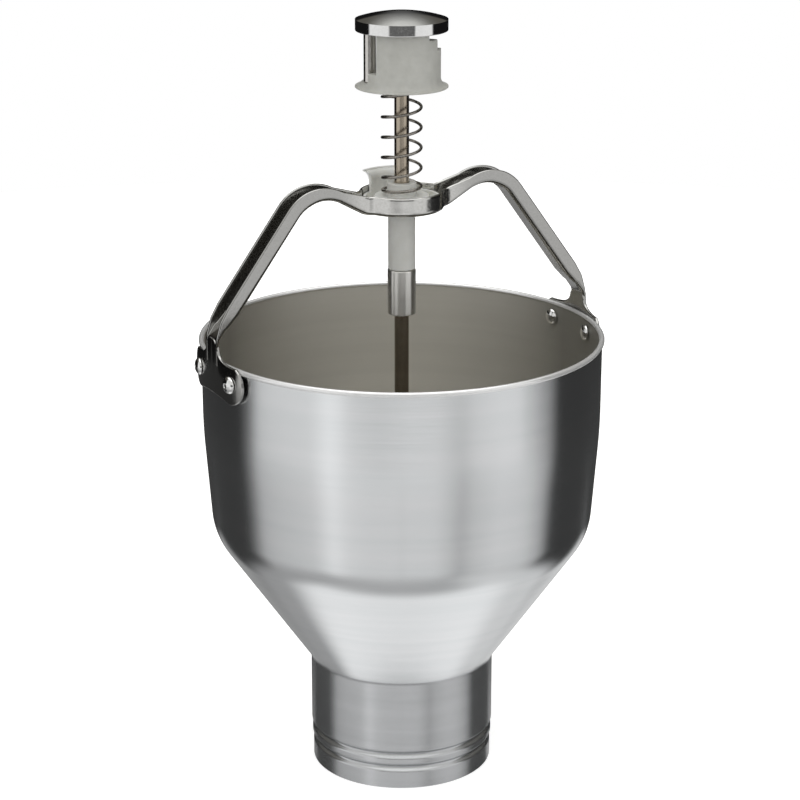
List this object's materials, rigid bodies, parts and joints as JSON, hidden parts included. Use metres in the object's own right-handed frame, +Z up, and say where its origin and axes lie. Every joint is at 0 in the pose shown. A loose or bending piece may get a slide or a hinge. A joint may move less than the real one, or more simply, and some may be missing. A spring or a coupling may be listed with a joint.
{
  "type": "pancake batter dispenser",
  "caption": "Hand-held batter hopper with a bail handle; a sprung thumb plunger opens the outlet and a stepped dial sets the portion.",
  "frame": {"origin": "middle of the outlet's foot, on the surface that the dispenser stands on", "axes": "+Z up along the plunger rod, +X along the bail towards its right end, +Y to the rear"},
  "size_m": [0.2306, 0.2222, 0.4277],
  "materials": {
    "spun_aluminium": "spun, satin to polished",
    "chromed_steel": "bright chrome",
    "polished_steel": "polished",
    "spring_steel": "drawn wire",
    "grey_nylon": "moulded, satin",
    "white_nylon": "machined, satin",
    "black_rubber": "matt"
  },
  "bodies": {
    "body": {"hopper_shell": "spun_aluminium", "outlet_liner": "white_nylon", "bail_handle": "chromed_steel", "rivet_right_rear": "chromed_steel", "rivet_right_front": "chromed_steel", "rivet_left_front": "chromed_steel", "rivet_left_rear": "chromed_steel", "guide_bush": "grey_nylon", "return_spring": "spring_steel"},
    "plunger": {"plunger_rod": "polished_steel", "stop_collar": "polished_steel", "collar_screw": "polished_steel", "upper_piston": "white_nylon", "piston_washer": "polished_steel", "piston_upper_nut": "polished_steel", "piston_lower_nut": "polished_steel", "cutoff_disc": "white_nylon", "disc_seal": "black_rubber", "disc_washer": "polished_steel", "disc_upper_nut": "polished_steel", "disc_lower_nut": "polished_steel", "rod_top_nut": "polished_steel", "thumb_button": "chromed_steel", "stop_post": "polished_steel"},
    "sleeve": {"dial_sleeve": "grey_nylon"},
    "dial": {"portion_dial": "grey_nylon"}
  },
  "joints": [
    {"name": "press", "type": "slide", "parent": "body", "child": "plunger", "axis": [0, 0, -1], "range_m": [0, 0.03], "stiffness_N_per_m": 850, "springref_m": -0.016, "deforming": ["return_spring"]},
    {"name": "dial_turn", "type": "hinge", "parent": "plunger", "child": "sleeve", "pos_m": [0, 0, 0.4], "axis": [0, 0, 1], "range_deg": [0, 175]},
    {"name": "dial_drop", "type": "slide", "parent": "sleeve", "child": "dial", "axis": [0, 0, -1], "range_m": [0, 0.0151]}
  ],
  "couplings": [
    {"joint": "dial_drop", "follows": "dial_turn", "m_per_rad": 0.00493}
  ]
}
